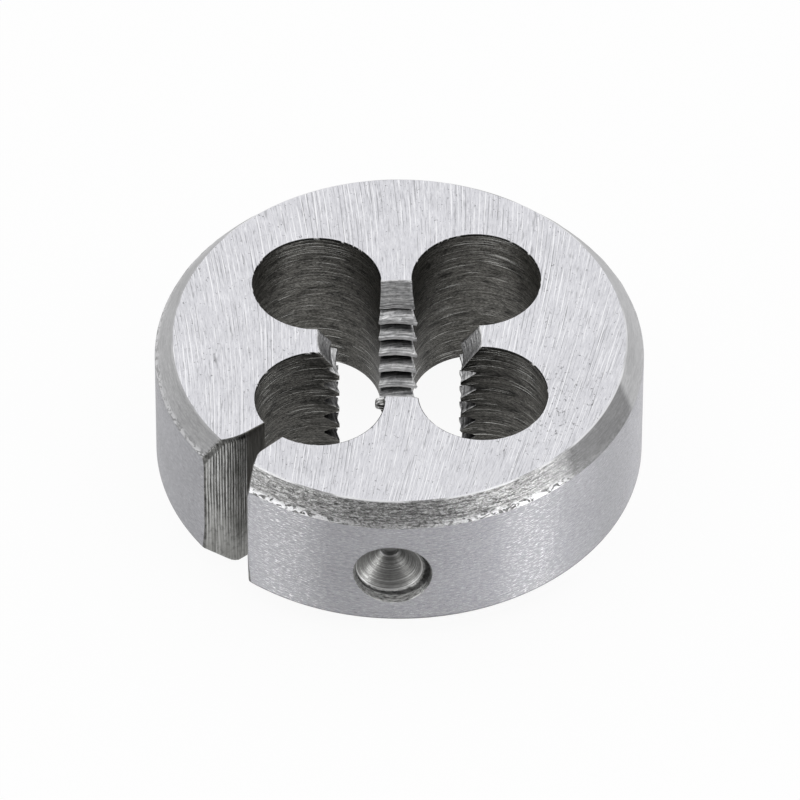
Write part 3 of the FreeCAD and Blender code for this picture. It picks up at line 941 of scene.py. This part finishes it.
def cut_thread():
    """Thread and lead cones: wavy turning lines, painted highlights on the edges and crests, and painted deep
    shade in the roots, with painted light and dark bands by depth between them.
    """
    material, tree, shader, wall = new_finish("cut_thread", roughness=0.3)
    lines = grain(tree, wall, (0.45, 11.0, 1.0), detail=3.0, offset=3.0, roughness=0.6, distortion=0.5)
    torn = grain(tree, wall, (2.2, 6.0, 1.0), detail=3.0, offset=11.0, roughness=0.6, distortion=0.6)
    depth = mark_on(tree, "painted_root_shade")
    place = share_of(tree, depth, ON_CONE, 1.0)
    colour = ramp(tree, lines, [(0.3, (0.3, 0.3, 0.305)), (0.48, (0.72, 0.72, 0.73)), (0.6, (1.0, 1.0, 1.0))])
    colour = toned(tree, colour, torn, [(0.3, 0.55), (0.6, 1.0)])
    # Painted light and shade by depth in the thread, read from the painted root shade.
    colour = toned(tree, colour, place, [
        (0.0, 0.9), (0.1, 1.0), (0.167, 0.5), (0.21, 1.0), (0.25, 0.38),
        (0.33, 0.92), (0.45, 0.42), (0.58, 0.26), (0.7, 0.1), (1.0, 0.04)])
    finish_off(tree, shader, colour, [(lines, 0.035), (torn, 0.02)])
    return material


def drilled_seat():
    """Fine rings from the drill's point; a mottled mouth with painted light below and painted shade above; a
    painted shadow on the ledge and a painted highlight round the cone's edge; and painted light deep in the
    pilot.
    """
    material, tree, shader, wall = new_finish("drilled_seat", roughness=0.5, drawn=0.5)
    rings = grain(tree, wall, (0.12, 9.0, 1.0), detail=3.0, offset=5.0, roughness=0.6)
    mottle = grain(tree, wall, (2.6, 6.0, 1.0), detail=3.0, offset=9.0, roughness=0.65)
    colour = ramp(tree, rings, [
        (0.3, (0.12, 0.12, 0.117)), (0.5, (0.205, 0.205, 0.2)), (0.66, (0.38, 0.38, 0.375))])
    colour = toned(tree, colour, mottle, [(0.3, 0.75), (0.6, 1.0)])
    mouth = level_mask(tree, wall, 0.95, 1.02)
    dark = ramp(tree, mottle, [(0.36, (0.2, 0.2, 0.197)), (0.6, (0.85, 0.85, 0.84))])
    place = node(tree, "SeparateXYZ", wall)
    turn = share_of(tree, place.outputs[0], 0.0, SEAT_TURN)
    # Painted light and shade round the mouth: light below, dark above.
    dark = toned(tree, dark, turn, [(0.0, 0.45), (0.08, 0.9), (0.2, 0.9), (0.28, 0.25), (0.9, 0.35)])
    colour = mixed(tree, "MIX", mouth, colour, dark)
    edge_place = share_of(tree, place.outputs[1], 0.5, 1.3)
    # Painted highlight round the cone's outer edge.
    painted_cone_edge_highlight = ramp(tree, edge_place, [(0.64, 0.0), (0.68, 0.8), (0.74, 0.8), (0.78, 0.0)])
    colour = mixed(tree, "MIX", painted_cone_edge_highlight, colour, (0.55, 0.55, 0.55, 1))
    # Painted shadow on the ledge between the mouth and the cone.
    colour = toned(tree, colour, edge_place, [(0.15, 1.0), (0.25, 0.15), (0.45, 0.15), (0.6, 1.0)])
    # Painted light: a flat grey deep in the pilot, which would otherwise lie in shade.
    colour = mixed(tree, "MIX", level_mask(tree, wall, 3.5, 3.6), (0.35, 0.35, 0.35, 1), colour)
    finish_off(tree, shader, colour, [(rings, 0.02), (mottle, 0.02)])
    return material


# One finish for each zone, in the order of zone_names.
finishes = (ground_face, turned_chamfer, ground_rim, drilled_hole, sawn_slot, milled_flare, cut_thread,
            drilled_seat)
for finish in finishes:
    mesh.materials.append(finish())

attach(die, "root")
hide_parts("threading_die")

# Rolled burr: a curl of steel that the first tooth's cut left standing at the front land's left end, still
# joined to the tooth. It is a short bar with rounded ends, ribbed lengthwise where the steel folded.
CURL_PLACE = np.array([-1.36, -5.42, 11.74])
CURL_HALF, CURL_R = 0.52, 0.45
CURL_RINGS, CURL_SIDES = 24, 32
CURL_LEAN, CURL_SAG = 0.1, 0.08
RIBS, RIB_HEIGHT, RIB_TWIST, RIB_ROUGHNESS = 5, 0.09, 1.5, 0.05

# Its radius falls off at both ends with the fourth power of the place along it, times the ribs' cosine.
along_curl = np.linspace(-1, 1, CURL_RINGS + 2)[1:-1, None]
turn = np.arange(CURL_SIDES) * 2 * math.pi / CURL_SIDES
rib = 1 + RIB_HEIGHT * np.cos(RIBS * turn + RIB_TWIST * along_curl)
rib = rib + RIB_ROUGHNESS * ragged(turn * 3 + along_curl * 4, 1, seed=51)
curl_r = CURL_R * (1 - np.abs(along_curl) ** 4) ** 0.4 * rib
curl_x = CURL_HALF * along_curl + 0 * turn
curl_y = curl_r * np.cos(turn) - CURL_LEAN * along_curl
curl_z = curl_r * np.sin(turn) - CURL_SAG * along_curl ** 2
curl_points = np.stack([curl_x, curl_y, curl_z], 2).reshape(-1, 3)
curl_poles = [[-CURL_HALF, CURL_LEAN, -CURL_SAG], [CURL_HALF, -CURL_LEAN, -CURL_SAG]]
curl_points = np.concatenate([curl_points, curl_poles]) + CURL_PLACE
ring_at, side_at = np.meshgrid(np.arange(CURL_RINGS - 1), np.arange(CURL_SIDES), indexing="ij")
here = (ring_at * CURL_SIDES + side_at).ravel()
beside = (ring_at * CURL_SIDES + (side_at + 1) % CURL_SIDES).ravel()
curl_quads = np.stack([here, here + CURL_SIDES, beside + CURL_SIDES, beside], 1).tolist()
around = np.arange(CURL_SIDES)
last = (CURL_RINGS - 1) * CURL_SIDES
pole = CURL_RINGS * CURL_SIDES
curl_ends = np.stack([around, (around + 1) % CURL_SIDES, 0 * around + pole], 1).tolist()
curl_ends += np.stack([last + (around + 1) % CURL_SIDES, last + around, 0 * around + pole + 1], 1).tolist()
curl_mesh = bpy.data.meshes.new("burr_curl")
curl_mesh.from_pydata(curl_points * MM, [], curl_quads + curl_ends)
curl_mesh.polygons.foreach_set("use_smooth", np.ones(len(curl_mesh.polygons), bool))
curl = bpy.data.objects.new("burr_curl", curl_mesh)
bpy.context.scene.collection.objects.link(curl)


def rolled_steel():
    """Torn bright steel: noise stripes along the curl give its relief small folds, with painted light on
    their ridges and painted shade in the folds.
    """
    material, tree, shader, _ = new_finish("rolled_steel", roughness=0.36)
    plan = in_millimetres(tree)
    folds_and_painted_light = grain(tree, plan, (0.7, 4.0, 5.0), offset=2.0, distortion=0.4)
    colour = ramp(tree, folds_and_painted_light, [
        (0.36, (0.1, 0.1, 0.097)), (0.48, (0.34, 0.34, 0.336)), (0.56, (0.9, 0.9, 0.9))])
    finish_off(tree, shader, colour, [(folds_and_painted_light, 0.03)])
    return material


curl_mesh.materials.append(rolled_steel())
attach(curl, "root")

# Floor: a wide sheet of white paper under the die, which takes its soft shadow. To the camera and in
# reflections it glows nearly white.
FLOOR_HALF_WIDTH = 3.0
PAPER_GLOW = 0.93
floor_mesh = bpy.data.meshes.new("floor")
floor_corners = np.array([(-1, -1, 0), (1, -1, 0), (1, 1, 0), (-1, 1, 0)]) * FLOOR_HALF_WIDTH
floor_mesh.from_pydata(floor_corners, [], [(0, 1, 2, 3)])
floor = bpy.data.objects.new("floor", floor_mesh)
bpy.context.scene.collection.objects.link(floor)
paper = bpy.data.materials.new("white_paper")
paper.use_nodes = True
tree = paper.node_tree
shader = tree.nodes["Principled BSDF"]
shader.inputs["Base Color"].default_value = (0.86, 0.86, 0.86, 1)
shader.inputs["Roughness"].default_value = 0.9
shader.inputs["Specular IOR Level"].default_value = 0.0
rays = node(tree, "LightPath")
seen = maths(tree, "MAXIMUM", rays.outputs["Is Camera Ray"], rays.outputs["Is Glossy Ray"])
seen = maths(tree, "MAXIMUM", seen, rays.outputs["Is Transmission Ray"])
glow = node(tree, "Emission", (1, 1, 1, 1), 1.0)
glow_share = maths(tree, "MULTIPLY", seen, PAPER_GLOW)
both = node(tree, "MixShader", glow_share, shader.outputs[0], glow.outputs[0])
tree.links.new(both.outputs[0], tree.nodes["Material Output"].inputs["Surface"])
floor_mesh.materials.append(paper)

# Studio light: a soft sky, bright behind, beside and above the die and dim on the camera's side, with one
# wide softbox overhead. A flat strip stands at each side just above the floor, below the top face's plane,
# so that the face never mirrors it.
SKY_FRONT, SKY_SIDE, SKY_BACK = 0.28, 1.2, 0.98
LAMPS_LOOK_AT = Vector((0, 0, 0.006))
world = bpy.data.worlds.new("studio")
bpy.context.scene.world = world
world.use_nodes = True
tree = world.node_tree
way = node(tree, "SeparateXYZ", node(tree, "TexCoord").outputs["Generated"])
beside = maths(tree, "MULTIPLY_ADD", maths(tree, "ABSOLUTE", way.outputs[0]), SKY_SIDE, way.outputs[1])
sky = node(tree, "MapRange", beside, -0.7, 0.6, SKY_FRONT, SKY_BACK, interpolation_type="SMOOTHSTEP")
tree.links.new(sky.outputs[0], tree.nodes["Background"].inputs["Strength"])
tree.nodes["Background"].inputs["Color"].default_value = (1, 1, 1, 1)


def softbox(name, place, wide, tall, power):
    """A flat area lamp, wide and tall as given, that looks at the die's middle."""
    lamp = bpy.data.lights.new(name, "AREA")
    lamp.shape = "RECTANGLE"
    lamp.size, lamp.size_y = wide, tall
    lamp.energy = power
    made = bpy.data.objects.new(name, lamp)
    bpy.context.scene.collection.objects.link(made)
    place = Vector(place)
    facing = (place - LAMPS_LOOK_AT).to_track_quat("Z", "Y").to_matrix().to_4x4()
    made.matrix_world = Matrix.Translation(place) @ facing


softbox("overhead", (0.0, -0.1, 0.9), wide=1.0, tall=1.0, power=1.6)
softbox("left_strip", (-0.172, -0.138, 0.0065), wide=0.07, tall=0.011, power=0.11)
softbox("right_strip", (0.172, -0.138, 0.0065), wide=0.08, tall=0.011, power=0.25)

# Camera: the photograph's viewpoint, with a long lens about 0.85 m away and 45 degrees above the floor. The
# focal length is in pixels of the picture, and distance and shifts are millimetres.
FOCAL_PIXELS = 10826.9
ELEVATION = math.radians(45.397)
ROLL = math.radians(0.192)
DISTANCE = 849.3
SIDE_SHIFT, UP_SHIFT = 0.063, 4.674
SENSOR_WIDTH = 36
PICTURE_WIDTH = 800
back = np.array([0, -math.cos(ELEVATION), math.sin(ELEVATION)])
right = np.array([1.0, 0, 0])
up = np.cross(back, right)
place = (back * DISTANCE + right * SIDE_SHIFT + up * UP_SHIFT) * MM
turned_right = math.cos(ROLL) * right + math.sin(ROLL) * up
turned_up = -math.sin(ROLL) * right + math.cos(ROLL) * up
camera = bpy.data.objects.new("camera", bpy.data.cameras.new("camera"))
bpy.context.scene.collection.objects.link(camera)
camera.data.sensor_width = SENSOR_WIDTH
camera.data.lens = FOCAL_PIXELS * SENSOR_WIDTH / PICTURE_WIDTH
camera.data.clip_start, camera.data.clip_end = 0.05, 10
camera_turn = Matrix([turned_right, turned_up, back]).transposed().to_4x4()
camera.matrix_world = Matrix.Translation(Vector(place)) @ camera_turn
bpy.context.scene.camera = camera
bpy.context.scene.view_settings.view_transform = "Standard"
